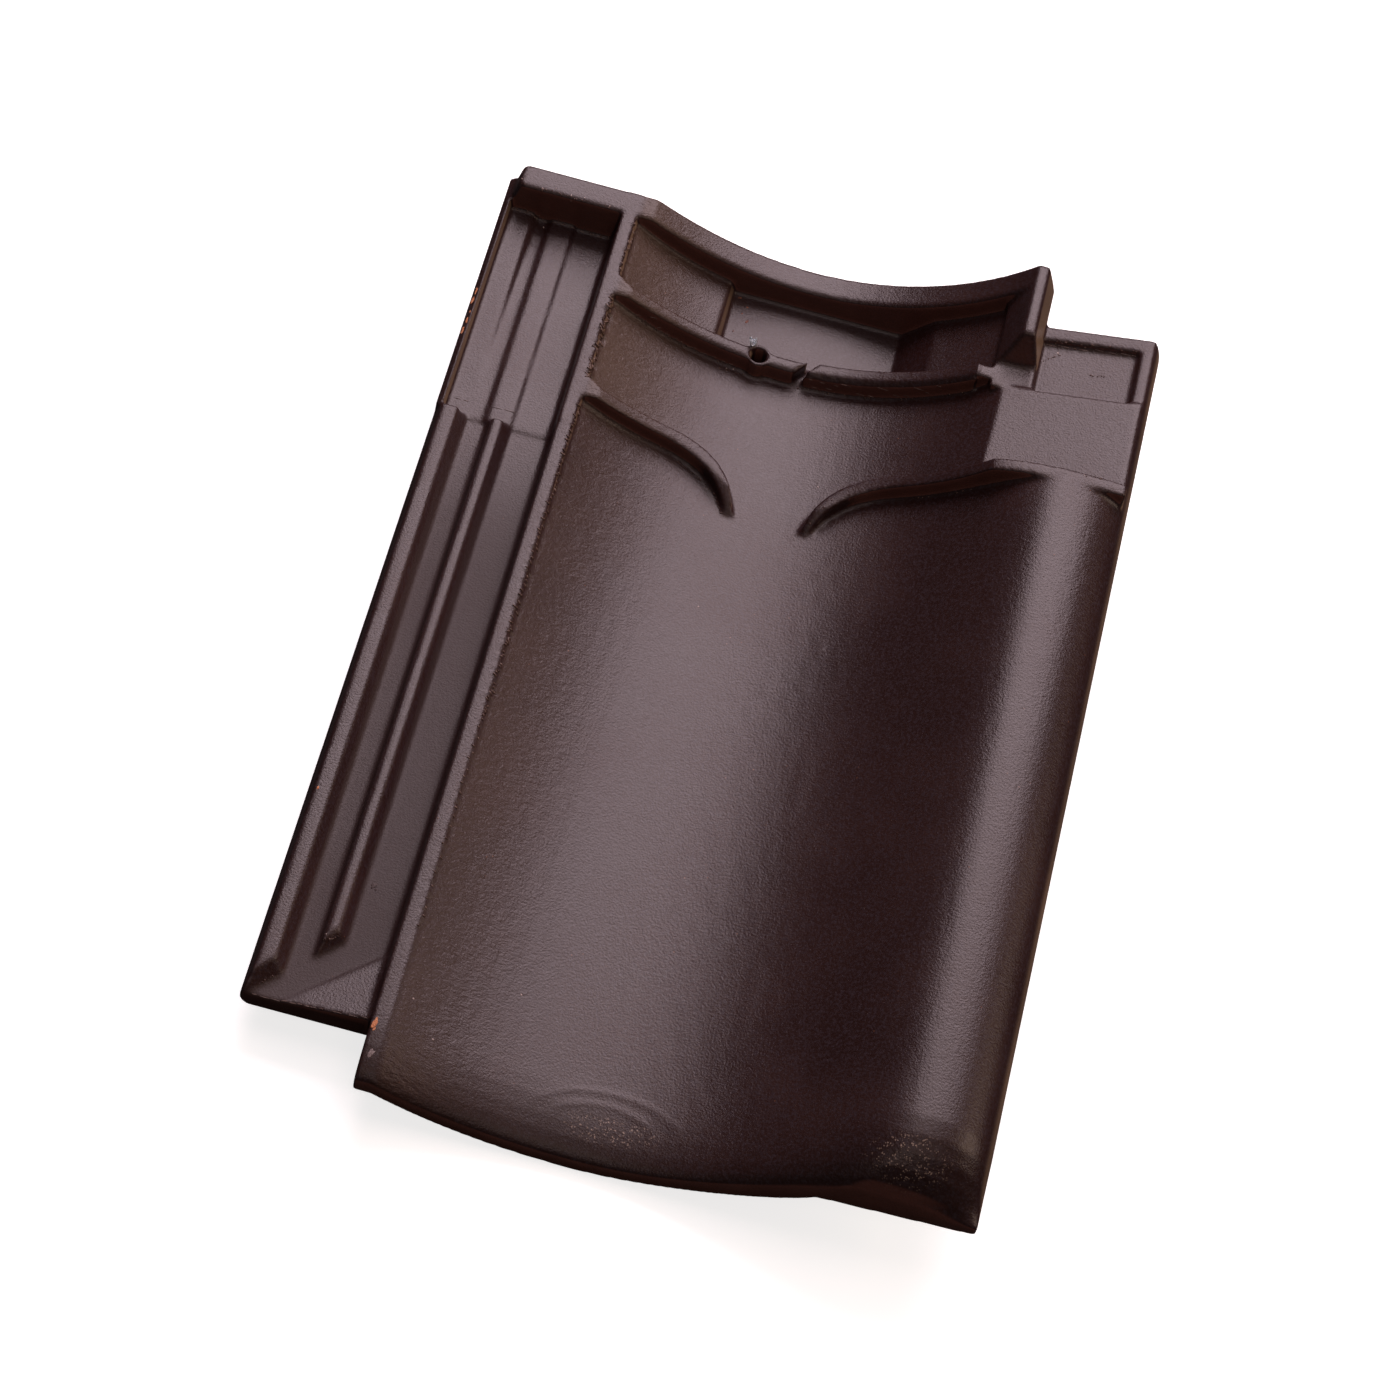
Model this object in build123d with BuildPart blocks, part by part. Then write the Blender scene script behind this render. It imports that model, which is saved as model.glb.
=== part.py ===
"""Interlocking clay roof tile with a pan, a closed roll and a double side lock, pressed as one piece.

While it is modelled, X runs from the side lock to the roll, Y from the foot to the head, and Z is
measured from the top of the strip beside the side lock. At the end the tile is laid on a floor, on
its foot and its nib. What lies near the head is placed from the head, and what belongs to the roll
is placed from the tile's right side.
"""
from build123d import *
import os
from math import atan2, cos, degrees, pi, radians, sin

# Overall
width = 256
length = 395
body_thickness = 12
overlap = 2
clear = 60
tolerance = 0.01
least_upward = 0.3

# Side lock and the strip between it and the pan
side_lock_width = 45.4
strip_width = 5.6
strip_edge_drop_foot = 0.5
strip_edge_drop_head = 4
strip_flare = 1

# Pan: its low line lies at a share of the way from the strip to the roll's crest
pan_low_share = 0.3944
pan_depth_foot = 15.6
pan_depth_head = 27.5
pan_left_fullness = 0.56
pan_right_fullness = 0.6
left_bottom_foot = 12.4
left_bottom_head = 24

# Roll, from the right side
roll_crest_inset = 25
roll_height_foot = 27.5
roll_height_head = 24.5
roll_left_handle = 25
roll_right_handle = 14
roll_shoulder = 6.5
side_top = 5.8
side_bottom = 0.8
roll_foot_inset = 53
roll_foot_bottom = -2.1
roll_foot_shift = 5
flank_handle = 13
flank_handle_foot = 13
flank_handle_head = 22
pan_under_handle = 28

# Rounded foot, from its upright edge to the full section
nose_length = 24
nose_steps = 6
edge_height = 5
roll_spans = 3
body_steps = 4

# Hollow under the roll, and the bars in it that reach into the next tile's side lock
hollow_left_inset = 47
hollow_right_inset = 5.5
hollow_handle = 9
hollow_front = 15
hollow_back_gap = 11.5
bar_insets = (34, 15.5)
bar_width = 4
bar_bottom = -7
bar_top = 10
bar_front = 60

# Side lock: slab, floor and the two long ribs of its lower stretch
lock_foot_y = 23.5
lock_step_inset = 114
lock_slab = 7.5
lock_floor_foot = -10.5
lock_floor_step = -14
lock_parting = 1
outer_rib_left = 2.5
outer_rib_right = 8.3
outer_rib_foot = 12.4
outer_rib_height = 6
inner_rib_foot_left = 20.2
inner_rib_left = 21.5
inner_rib_right = 25.5
inner_rib_foot_right = 29.2
inner_rib_height = 5
lock_wall_run = 1.9
lock_wall_top = -3
rib_rounding = 1
rib_end_angle = 47
rib_end_taper = 38
rib_end_reach = 50

# Low ramp that turns the water out of the side lock's foot
ramp_left = 14.2
ramp_angle = 43
ramp_step = 0.6
ramp_run = 19
ramp_rise = 4
ramp_length = 45

# Side lock's upper stretch: outer lip and platform, narrow channel, inner platform and floor
lip_width = 2.4
lip_height = 5
lip_outer_height = 3.6
lip_foot = 3.3
outer_platform_right = 12
outer_platform_foot = 14.4
channel_right = 18.2
inner_platform_left = 19.6
inner_platform_right = 28
inner_platform_foot = 29.6
inner_platform_height = 1.3
upper_floor_start = -13.6
upper_floor_end = -17

# Wave that the ribs rise to, where the tile above rests
wave_flat = 6
wave_depth = 18
wave_left_fullness = 0.5
wave_right_handle = 33
wave_end_height = 20
wave_end_handle_x = 19
wave_end_handle_z = 21.5
roll_rib_crest = 25.6
roll_rib_handle = 14
roll_rib_end_inset = 3.5
roll_rib_end_height = 24.5
rib_root = 17.5

# Ribs across the head: places from the head, widths towards the foot
head_rib_width = 11.3
head_rib_left = 4.6
head_rib_corner = 2.5
head_rib_side_draft = 3.4
head_rib_rounding = 1.5
middle_rib_inset = 44.6
middle_rib_width = 5.8
middle_rib_step = 1.4
middle_step_drop = 1.8
front_rib_inset = 94.5
front_rib_width = 5.8
crown_rounding = 1.4
crown_back_rounding = 0.6
flare_length = 4.4

# Curls at the inner ends of the front rib
curl_middle_shift = 1.8
curl_gap = 24.5
curl_run = 32
curl_start_handle = 19
curl_tip_handle_x = 3.4
curl_tip_handle_y = 17.5
curl_tip_width = 3
curl_inner_start = 1
curl_inner_handle = 16
curl_inner_tip_x = 4
curl_inner_tip_y = 13
curl_fade_reach = 31
curl_fade = ((1, 9), (8, -1.5), (21, 0.5), (28, -11))
curl_fade_slope = 0.1

# Plateau under the next tile's roll, and the recessed corner behind it
plateau_inset = 51
plateau_height = 8
plateau_slope = 0.2
plateau_back_inset = 50.7
corner_back_inset = 18.5
corner_radius = 4
corner_rim_back = 6.7
corner_rim_side = 8.2
corner_rim_drop = 1
corner_floor_drop = 3.6

# Upright post at the right end of the head rib, with a pad in front of it
post_flank_inset = 60
post_left_inset = 53
post_right_inset = 48.6
post_height = 20.5
post_waist_inset = 45.3
post_waist = 11
post_foot_inset = 44.4
post_foot = 7.2
post_front_top_inset = 34
post_front_foot_inset = 41
post_rounding = 0.8
pad_left_inset = 65.5
pad_front_inset = 52
pad_height = 7.2

# Pocket above the nib
pocket_margin = 1
pocket_floor = -28.5
pocket_front_inset = 41
pocket_wall_left = 6
pocket_wall_right = 12
pocket_wall_height = 14

# Nib that hooks over the batten
nib_width = 64
nib_front_inset = 41.5
nib_bottom = -52
nib_root = -33
nib_root_depth = 22
nib_tip_depth = 15
nib_side_draft = 3
nib_rounding = 2

# Nail hole and slot in the middle rib
nail_shift_x = 12.5
nail_shift_y = 0.5
nail_radius = 3
nail_mouth_radius = 4
nail_mouth_top = 1.7
nail_mouth_depth = 3.5
nail_boss_radius = 5
slot_shift = 5.8
slot_width = 3
slot_angle = -37
slot_floor = -25


def mix(a, b, share):
    """Value at a share of the way from a to b."""
    return a + (b - a) * share


# Places that follow from the sizes
strip_right = side_lock_width + strip_width
roll_crest_x = width - roll_crest_inset
roll_foot_x = width - roll_foot_inset
bottom_depth_foot = pan_depth_foot + body_thickness
bottom_depth_head = pan_depth_head + body_thickness
lock_step_y = length - lock_step_inset
lock_wall_foot = side_lock_width - lock_wall_run
lock_slope = (lock_floor_step - lock_floor_foot) / (lock_step_y - lock_foot_y)
middle_rib_back = length - middle_rib_inset
middle_rib_y = middle_rib_back - middle_rib_width / 2
front_rib_back = length - front_rib_inset
front_rib_front = front_rib_back - front_rib_width
head_rib_front = length - head_rib_width
head_rib_root = head_rib_left - head_rib_side_draft
plateau_left = width - plateau_inset
plateau_back = length - plateau_back_inset
corner_back = length - corner_back_inset
post_flank = width - post_flank_inset
post_foot_x = width - post_foot_inset
post_front_foot = length - post_front_foot_inset
post_front_top = length - post_front_top_inset
pad_left = width - pad_left_inset
pad_front = length - pad_front_inset
pocket_front = length - pocket_front_inset
hollow_left = width - hollow_left_inset
hollow_right = width - hollow_right_inset
hollow_back = front_rib_back - hollow_back_gap
bar_centres = [width - inset for inset in bar_insets]
pan_low_x = mix(strip_right, roll_crest_x, pan_low_share)
pan_left_handle = pan_left_fullness * (pan_low_x - strip_right)
pan_right_handle = pan_right_fullness * (roll_crest_x - pan_low_x)
wave_flat_x = strip_right + wave_flat
wave_end_x = roll_foot_x
roll_rib_end_x = width - roll_rib_end_inset
nib_x = (strip_right + roll_foot_x) / 2
nib_left = nib_x - nib_width / 2
nib_right = nib_x + nib_width / 2
nib_front = length - nib_front_inset
pocket_left = nib_left - pocket_margin
pocket_right = nib_right + pocket_margin
nail_x = pan_low_x - nail_shift_x
nail_y = middle_rib_y + nail_shift_y
nail_mouth_z = nail_mouth_top - wave_depth
slot_x = pan_low_x + slot_shift
curl_middle = nib_x + curl_middle_shift


def upper_points(y):
    """Control points of the upper face's outline at a distance y from the foot."""
    share = y / length
    depth = mix(pan_depth_foot, pan_depth_head, share)
    crest = mix(roll_height_foot, roll_height_head, share)
    drop = mix(strip_edge_drop_foot, strip_edge_drop_head, share)
    strip = [(side_lock_width, 0), (strip_right, 0), (strip_right + strip_flare, -drop)]
    pan_left = [(pan_low_x - pan_left_handle, -depth), (pan_low_x, -depth)]
    pan_right = [(pan_low_x + pan_right_handle, -depth), (roll_crest_x - roll_left_handle, crest)]
    roll = [(roll_crest_x, crest), (roll_crest_x + roll_right_handle, crest)]
    side = [(width, crest - roll_shoulder), (width, side_top)]
    return strip + pan_left + pan_right + roll + side


def lower_points(y):
    """Control points of the underside's outline at y, from the roll back to the strip."""
    share = y / length
    depth = mix(bottom_depth_foot, bottom_depth_head, share)
    left_bottom = mix(left_bottom_foot, left_bottom_head, share)
    flank_z = -mix(flank_handle_foot, flank_handle_head, share)
    roll_foot = [(width, side_bottom), (roll_foot_x + roll_foot_shift * share, roll_foot_bottom)]
    flank = [(roll_foot_x - flank_handle, flank_z)]
    pan = [(pan_low_x + pan_under_handle, -depth), (pan_low_x, -depth), (pan_low_x - pan_left_handle, -depth)]
    return roll_foot + flank + pan + [(strip_right, -left_bottom), (side_lock_width, -left_bottom)]


def edge_points():
    """Control points of the top of the foot's upright edge: the underside's outline, raised."""
    raised = [(x, z + edge_height) for x, z in lower_points(0)]
    side, kink, flank, pan_out, pan, pan_in, strip, corner = raised
    shares = [i / roll_spans for i in range(roll_spans + 1)]
    roll = [(mix(kink[0], side[0], share), mix(kink[1], side[1], share)) for share in shares]
    return [corner, strip, (strip[0] + strip_flare, strip[1]), pan_in, pan, pan_out, flank] + roll


def section(y, fullness=1.0):
    """One closed outline across the tile at y; fullness 0 is the upright edge of the foot."""
    pairs = zip(edge_points(), upper_points(y))
    top = [(mix(a, c, fullness), mix(b, d, fullness)) for (a, b), (c, d) in pairs]
    low = lower_points(y)
    with BuildLine(Plane.XZ.offset(-y)):
        edges = [
            Line(top[0], top[1]),
            Line(top[1], top[2]),
            Bezier(top[2], top[3], top[4]),
            Bezier(top[4], top[5], top[6], top[7]),
            Bezier(top[7], top[8], top[9], top[10]),
            Line(top[10], low[0]),
            Line(low[0], low[1]),
            Bezier(low[1], low[2], low[3], low[4]),
            Bezier(low[4], low[5], low[6]),
            Line(low[6], low[7]),
            Line(low[7], top[0]),
        ]
    return Face(Wire(edges))


def wave_face(drop):
    """Band across the tile whose top is the wave, lowered by drop, and whose root is in the body."""
    left_handle = mix(wave_flat_x, pan_low_x, wave_left_fullness)
    edges = []
    with BuildLine(Plane.XZ.offset(-length)):
        for z in (-drop, -rib_root):
            low, end, crest = z - wave_depth, z + wave_end_height, z + roll_rib_crest
            edges.append(Line((0, z), (wave_flat_x, z)))
            edges.append(Bezier((wave_flat_x, z), (left_handle, low), (pan_low_x, low)))
            edges.append(
                Bezier(
                    (pan_low_x, low),
                    (pan_low_x + wave_right_handle, low),
                    (wave_end_x - wave_end_handle_x, end - wave_end_handle_z),
                    (wave_end_x, end),
                )
            )
            edges.append(
                Bezier(
                    (wave_end_x, end),
                    (wave_end_x + roll_rib_handle, crest),
                    (roll_rib_end_x - roll_rib_handle, crest),
                    (roll_rib_end_x, z + roll_rib_end_height),
                )
            )
        edges.append(Line((0, -drop), (0, -rib_root)))
        end_top = roll_rib_end_height - drop
        edges.append(Line((roll_rib_end_x, end_top), (roll_rib_end_x, roll_rib_end_height - rib_root)))
    return Face(Wire(edges))


def under_wave(plan, drop=0.0):
    """Rib with the given outline from above, up to the wave lowered by drop."""
    with BuildPart() as rib:
        extrude(plan, amount=2 * clear, dir=(0, 0, 1))
        extrude(wave_face(drop), amount=length, dir=(0, -1, 0), mode=Mode.INTERSECT)
    return rib.part


def crown_edges(rib, y):
    """Edges of the rib's top that lie at a distance y from the foot."""
    tops = rib.faces().filter_by(lambda face: face.normal_at().Z > least_upward)
    return tops.edges().filter_by_position(Axis.Y, y - tolerance, y + tolerance)


def flare(back):
    """Outline from above of the web between the strip and the head side of a rib that ends at back."""
    root = strip_right - overlap
    return [
        (root, back - overlap),
        (root, back + flare_length),
        (strip_right, back + flare_length),
        (wave_flat_x, back),
        (wave_flat_x, back - overlap),
    ]


def plateau_z(x):
    """Height of the plateau's slope at x."""
    return plateau_height + plateau_slope * (x - plateau_left)


def above_slope(left, right, front, back, drop):
    """Everything above the plateau's slope, lowered by drop, between two x and two y."""
    with BuildPart() as block:
        with BuildSketch(Plane.XZ.offset(-back)):
            Polygon(
                (left, plateau_z(left) - drop),
                (right, plateau_z(right) - drop),
                (right, clear),
                (left, clear),
                align=None,
            )
        extrude(amount=back - front)
    return block.part


def curl_plan(hand):
    """Outline of the front rib's arm and its curl, for the left (-1) or the right (1) of the pan."""
    root = strip_right - overlap if hand < 0 else roll_rib_end_x
    tip = curl_middle + hand * curl_gap / 2
    start = tip + hand * curl_run
    inner_start = start + hand * curl_inner_start
    inner_tip = tip + hand * curl_tip_width
    tip_y = front_rib_back - curl_fade[-1][0]
    with BuildLine(Plane.XY.offset(-clear)):
        edges = [
            Line((root, front_rib_back), (start, front_rib_back)),
            Bezier(
                (start, front_rib_back),
                (start - hand * curl_start_handle, front_rib_back),
                (tip + hand * curl_tip_handle_x, tip_y + curl_tip_handle_y),
                (tip, tip_y),
            ),
            Line((tip, tip_y), (inner_tip, tip_y)),
            Bezier(
                (inner_tip, tip_y),
                (inner_tip + hand * curl_inner_tip_x, tip_y + curl_inner_tip_y),
                (inner_start - hand * curl_inner_handle, front_rib_front),
                (inner_start, front_rib_front),
            ),
            Line((inner_start, front_rib_front), (root, front_rib_front)),
            Line((root, front_rib_front), (root, front_rib_back)),
        ]
    return Face(Wire(edges))


# Side lock's lower stretch, whose two ribs end at one slanted plane near the foot
with BuildPart() as lower_lock:
    with BuildSketch(Plane((0, lock_foot_y, lock_floor_foot), (1, 0, 0), (0, -1, 0))) as lower_outline:
        Polygon(
            (0, -lock_parting),
            (outer_rib_left, outer_rib_height),
            (outer_rib_right, outer_rib_height),
            (outer_rib_foot, 0),
            (inner_rib_foot_left, 0),
            (inner_rib_left, inner_rib_height),
            (inner_rib_right, inner_rib_height),
            (inner_rib_foot_right, 0),
            (lock_wall_foot, 0),
            (side_lock_width, lock_wall_top - lock_floor_foot),
            (side_lock_width + overlap, lock_wall_top - lock_floor_foot),
            (side_lock_width + overlap, -lock_slab),
            (outer_rib_left, -lock_slab),
            (0, -lock_slab + outer_rib_left),
            align=None,
        )
        crowns = lower_outline.vertices().filter_by(
            lambda v: v.Z > lock_floor_foot + overlap and v.X < lock_wall_foot
        )
        fillet(crowns, rib_rounding)
    extrude(amount=lock_step_y - lock_foot_y, dir=(0, 1, lock_slope))
    floor_plane = Plane((0, lock_foot_y, lock_floor_foot), (1, 0, 0), (0, -lock_slope, 1))
    with BuildSketch(floor_plane):
        with BuildLine():
            cut = PolarLine((outer_rib_left, 0), rib_end_reach, rib_end_angle)
            Polyline(cut @ 1, ((cut @ 1).X, -rib_end_reach), (outer_rib_left, -rib_end_reach), cut @ 0)
        make_face()
    extrude(amount=outer_rib_height + overlap, taper=-rib_end_taper, mode=Mode.SUBTRACT)

# Low ramp across the lock's foot corner
with BuildPart() as ramp:
    across = (sin(radians(ramp_angle)), -cos(radians(ramp_angle)), 0)
    along = (-cos(radians(ramp_angle)), -sin(radians(ramp_angle)), 0)
    with BuildSketch(Plane((ramp_left, lock_foot_y, lock_floor_foot), across, along)):
        Polygon(
            (0, -lock_slab),
            (0, ramp_step),
            (ramp_run, ramp_rise),
            (ramp_length, ramp_rise),
            (ramp_length, -lock_slab),
            align=None,
        )
    extrude(amount=ramp_length, both=True)
    with BuildSketch(Plane.XY.offset(lock_floor_foot - lock_slab)):
        Polygon(
            (ramp_left, lock_foot_y),
            (side_lock_width, lock_foot_y),
            (side_lock_width, lock_foot_y + ramp_length),
            (ramp_left, lock_foot_y + ramp_length),
            align=None,
        )
    extrude(amount=clear, mode=Mode.INTERSECT)

# Side lock's upper stretch: a level lip and platform, beside a channel and a floor that deepen
with BuildPart() as upper_lock:
    with BuildSketch(Plane((0, length, upper_floor_end), (1, 0, 0), (0, -1, 0))):
        Polygon(
            (outer_rib_left, 0),
            (channel_right, 0),
            (inner_platform_left, inner_platform_height),
            (inner_platform_right, inner_platform_height),
            (inner_platform_foot, 0),
            (lock_wall_foot, 0),
            (side_lock_width, lock_wall_top - upper_floor_end),
            (side_lock_width + overlap, lock_wall_top - upper_floor_end),
            (side_lock_width + overlap, -lock_slab),
            (outer_rib_left, -lock_slab),
            align=None,
        )
    upper_slope = (upper_floor_end - upper_floor_start) / lock_step_inset
    extrude(amount=lock_step_inset, dir=(0, -1, -upper_slope))
    with BuildSketch(Plane.XZ.offset(-length)):
        with Locations((0, lock_floor_step)):
            Polygon(
                (0, lip_outer_height),
                (lip_width, lip_height),
                (lip_foot, 0),
                (outer_platform_right, 0),
                (outer_platform_foot, upper_floor_end - lock_floor_step),
                (outer_platform_foot, -lock_slab),
                (outer_rib_left, -lock_slab),
                (0, -lock_slab + outer_rib_left),
                align=None,
            )
    extrude(amount=lock_step_inset)

# Ribs
plan_plane = Plane.XY.offset(-clear)
with BuildSketch(plan_plane) as left_rib_plan:
    with Locations(((strip_right - overlap + slot_x) / 2, middle_rib_y)):
        Rectangle(slot_x - strip_right + overlap, middle_rib_width)
with BuildPart() as middle_rib_left:
    add(under_wave(left_rib_plan.sketch.faces()[0]))
    fillet(crown_edges(middle_rib_left.part, middle_rib_back - middle_rib_width), crown_rounding)
    fillet(crown_edges(middle_rib_left.part, middle_rib_back), crown_back_rounding)

with BuildSketch(plan_plane) as right_rib_plan:
    with Locations(((slot_x + pad_left) / 2, middle_rib_y + middle_rib_step)):
        Rectangle(pad_left - slot_x, middle_rib_width)
with BuildPart() as middle_rib_right:
    add(under_wave(right_rib_plan.sketch.faces()[0]))
    fillet(crown_edges(middle_rib_right.part, middle_rib_back + middle_rib_step), crown_back_rounding)
with BuildSketch(plan_plane) as step_plan:
    with Locations(((slot_x + pad_left) / 2, middle_rib_y)):
        Rectangle(pad_left - slot_x, middle_rib_width)
with BuildPart() as rib_step:
    add(under_wave(step_plan.sketch.faces()[0], middle_step_drop))

with BuildSketch(plan_plane) as boss_plan:
    with Locations((nail_x, nail_y)):
        Circle(nail_boss_radius)
with BuildSketch(plan_plane) as flare_plan:
    Polygon(*flare(middle_rib_back), align=None)
    Polygon(*flare(front_rib_back), align=None)

with BuildPart() as curls:
    for hand in (-1, 1):
        add(under_wave(curl_plan(hand)))
    with BuildSketch(Plane.YZ.offset(curl_middle - curl_fade_reach)):
        with BuildLine():
            fade = Bezier([(front_rib_back - run, height - wave_depth) for run, height in curl_fade])
            Polyline(fade @ 1, ((fade @ 1).X, clear), ((fade @ 0).X, clear), fade @ 0)
        make_face()
    extrude(amount=2 * curl_fade_reach, dir=(1, 0, curl_fade_slope), mode=Mode.SUBTRACT)

with BuildSketch(plan_plane) as head_rib_plan:
    with Locations(((head_rib_root + wave_end_x) / 2, length - head_rib_width / 2)):
        Rectangle(wave_end_x - head_rib_root, head_rib_width)
with BuildPart() as head_rib:
    add(under_wave(head_rib_plan.sketch.faces()[0]))
    with BuildSketch(Plane.XZ.offset(-length)):
        Polygon(
            (0, lock_floor_step),
            (head_rib_root, lock_floor_step),
            (head_rib_left, 0),
            (0, 0),
            align=None,
        )
    extrude(amount=head_rib_width, mode=Mode.SUBTRACT)
    side_edges = head_rib.edges().filter_by(
        lambda edge: edge.bounding_box().max.X < head_rib_left + tolerance
        and edge.bounding_box().size.X > overlap
    )
    fillet(side_edges, head_rib_corner)
    fillet(crown_edges(head_rib.part, head_rib_front), head_rib_rounding)

# Post with its sloped front
with BuildPart() as post:
    with BuildSketch(Plane.XZ.offset(-length)):
        Polygon(
            (post_flank, pad_height),
            (width - post_left_inset, post_height),
            (width - post_right_inset, post_height),
            (width - post_waist_inset, post_waist),
            (post_foot_x, post_foot),
            (post_foot_x, side_bottom),
            (post_flank, side_bottom),
            align=None,
        )
    extrude(amount=length - post_front_foot)
    with BuildSketch(Plane.YZ.offset(post_flank)):
        Polygon(
            (post_front_foot, pad_height),
            (post_front_top, post_height),
            (post_front_foot, post_height),
            align=None,
        )
    extrude(amount=post_foot_x - post_flank, mode=Mode.SUBTRACT)
    fillet(post.faces().sort_by(Axis.Z)[-1].edges(), post_rounding)

# Pad in front of the post, and the end of the middle rib
with BuildPart() as pad:
    with BuildSketch(Plane.XY.offset(side_bottom)):
        with Locations(((post_flank + post_foot_x) / 2, (pad_front + post_front_top) / 2)):
            Rectangle(post_foot_x - post_flank, post_front_top - pad_front)
        with Locations(((pad_left + post_flank) / 2, middle_rib_y + middle_rib_step)):
            Rectangle(post_flank - pad_left, middle_rib_width)
    extrude(amount=pad_height - side_bottom)

# Outline of the recessed corner, cut away behind and beside its rim
with BuildPart() as corner_cut:
    with BuildSketch(plan_plane):
        with Locations(((post_foot_x + width) / 2, (corner_back + length) / 2)):
            Rectangle(width - post_foot_x, length - corner_back)
        with Locations((width - corner_radius / 2, corner_back - corner_radius / 2)):
            Rectangle(corner_radius, corner_radius)
        with Locations((width - corner_radius, corner_back - corner_radius)):
            Circle(corner_radius, mode=Mode.SUBTRACT)
    extrude(amount=2 * clear)

# Pocket between the middle rib and the head rib
with BuildPart() as pocket:
    with BuildSketch(Plane.XZ.offset(-pocket_front)):
        Polygon(
            (pocket_left, pocket_floor),
            (pocket_right, pocket_floor),
            (pocket_right + pocket_wall_right, pocket_floor + pocket_wall_height),
            (pocket_left - pocket_wall_left, pocket_floor + pocket_wall_height),
            align=None,
        )
    extrude(amount=pocket_front - head_rib_front)

# Nib under the head, with an upright front
with BuildPart() as nib:
    with BuildSketch(Plane.YZ.offset(nib_left)):
        Polygon(
            (nib_front, nib_root),
            (nib_front, nib_bottom),
            (nib_front + nib_tip_depth, nib_bottom),
            (nib_front + nib_root_depth, nib_root),
            align=None,
        )
    extrude(amount=nib_width)
    with BuildSketch(Plane.XZ.offset(-nib_front)):
        Polygon(
            (nib_left, nib_root),
            (nib_left + nib_side_draft, nib_bottom),
            (nib_right - nib_side_draft, nib_bottom),
            (nib_right, nib_root),
            align=None,
        )
    extrude(amount=-nib_root_depth, mode=Mode.INTERSECT)
    fillet(nib.edges().group_by(Axis.Z)[0], nib_rounding)

# Hollow under the roll, less its two bars
with BuildPart() as hollow:
    for y in (hollow_front, hollow_back):
        top = mix(roll_height_foot, roll_height_head, y / length) - body_thickness
        with BuildSketch(Plane.XZ.offset(-y)):
            with BuildLine():
                left_wall = Line((hollow_left, -clear), (hollow_left, roll_foot_bottom))
                crown = Bezier(
                    left_wall @ 1,
                    (hollow_left + hollow_handle, top),
                    (hollow_right - hollow_handle, top),
                    (hollow_right, side_top),
                )
                Polyline(crown @ 1, (hollow_right, -clear), left_wall @ 0)
            make_face()
    loft()

with BuildPart() as bars:
    for x in bar_centres:
        with BuildSketch(Plane.XZ.offset(-bar_front)):
            with Locations((x, (bar_bottom + bar_top) / 2)):
                Rectangle(bar_width, bar_top - bar_bottom)
        extrude(amount=bar_front - hollow_back - overlap)

# Body, cut and joined
nose_turns = [pi / 2 * i / nose_steps for i in range(nose_steps)]
nose_outlines = [section(nose_length * (1 - cos(turn)), sin(turn)) for turn in nose_turns]
body_outlines = [section(mix(nose_length, length, i / body_steps)) for i in range(body_steps + 1)]

with BuildPart() as pressed:
    loft(sections=nose_outlines + body_outlines, ruled=True)
    add(above_slope(post_flank, width, front_rib_back, plateau_back, 0), mode=Mode.SUBTRACT)
    add(above_slope(post_flank, width, plateau_back, length, corner_rim_drop), mode=Mode.SUBTRACT)
    add(pocket.part, mode=Mode.SUBTRACT)
    for piece in (lower_lock, ramp, upper_lock, middle_rib_left, middle_rib_right, rib_step, curls, head_rib):
        add(piece.part)
    add(under_wave(boss_plan.sketch.faces()[0]))
    for face in flare_plan.sketch.faces():
        add(under_wave(face))
    for piece in (nib, pad, post):
        add(piece.part)
    add(
        above_slope(
            post_foot_x,
            width - corner_rim_side,
            plateau_back,
            corner_back - corner_rim_back,
            corner_floor_drop,
        ),
        mode=Mode.SUBTRACT,
    )
    add(corner_cut.part, mode=Mode.SUBTRACT)
    add(hollow.part, mode=Mode.SUBTRACT)
    add(bars.part)
    with BuildSketch(Plane.XY.offset(slot_floor)):
        with Locations(Location((slot_x, middle_rib_y), slot_angle)):
            Rectangle(slot_width, 2 * middle_rib_width)
    extrude(amount=clear, mode=Mode.SUBTRACT)
    with BuildSketch(plan_plane):
        with Locations((nail_x, nail_y)):
            Circle(nail_radius)
    extrude(amount=2 * clear, mode=Mode.SUBTRACT)
    with BuildSketch(Plane.XY.offset(nail_mouth_z)):
        with Locations((nail_x, nail_y)):
            Circle(nail_mouth_radius)
    with BuildSketch(Plane.XY.offset(nail_mouth_z - nail_mouth_depth)):
        with Locations((nail_x, nail_y)):
            Circle(nail_radius)
    loft(mode=Mode.SUBTRACT)

# Laid on the floor: foot edge and nib at one height, outline centred
lean = degrees(atan2(-bottom_depth_foot - nib_bottom, nib_front + nib_rounding))
leant = pressed.part.rotate(Axis.X, lean)
box = leant.bounding_box()
with BuildPart() as roof_tile:
    add(leant.translate((-box.center().X, -box.center().Y, -box.min.Z)))
roof_tile.part.label = "roof_tile"
os.makedirs("parts", exist_ok=True)
export_step(roof_tile.part, "parts/roof_tile.step")
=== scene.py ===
"""Dresses and lights an interlocking clay roof tile in dark brown slip, lying on a pale floor.

The tile lies with its foot towards the camera, its side lock on the left and its roll on the right.
Lengths are in metres, but what lies on the tile has its places and sizes in millimetres, from the
tile's left edge and its foot.
"""

import logging
import math
import random
from dataclasses import dataclass, field
from enum import Enum

import bmesh
import bpy
from mathutils import Matrix, Vector, noise
from mathutils.bvhtree import BVHTree


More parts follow.
